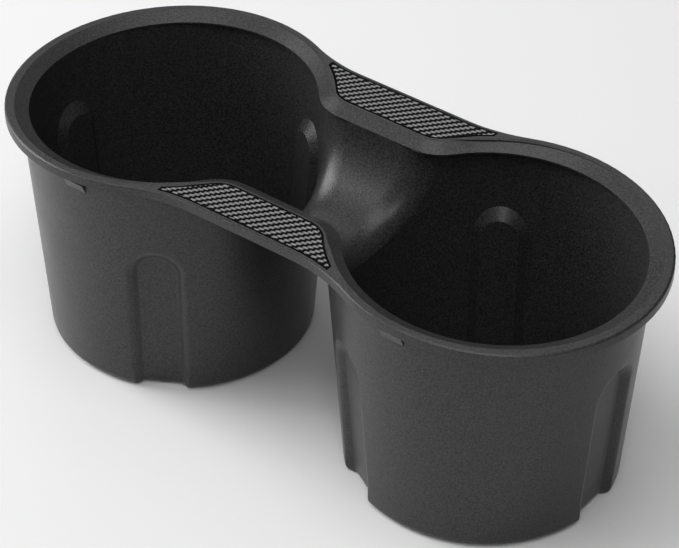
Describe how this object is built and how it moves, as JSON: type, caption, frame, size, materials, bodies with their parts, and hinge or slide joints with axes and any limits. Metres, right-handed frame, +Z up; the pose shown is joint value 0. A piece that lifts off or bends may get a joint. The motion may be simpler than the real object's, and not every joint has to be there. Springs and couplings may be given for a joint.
{
  "type": "cup holder insert",
  "caption": "Moulded car console insert: open tapered cups with grip ribs under one arched rim, joined by a round trough between inlaid patterned trim panels.",
  "frame": {"origin": "middle of the plane that the feet of the cups stand on", "axes": "+X along the line of the cups, +Y to the back, across the console, +Z up, out of the cups' mouths"},
  "size_m": [0.1834, 0.0838, 0.069],
  "materials": {
    "moulded_plastic": "finely grained matte black",
    "patterned_trim": "carbon-weave pattern under a clear surface"
  },
  "bodies": {
    "root": {"cup_body": "moulded_plastic", "front_trim": "patterned_trim", "rear_trim": "patterned_trim"}
  },
  "joints": []
}
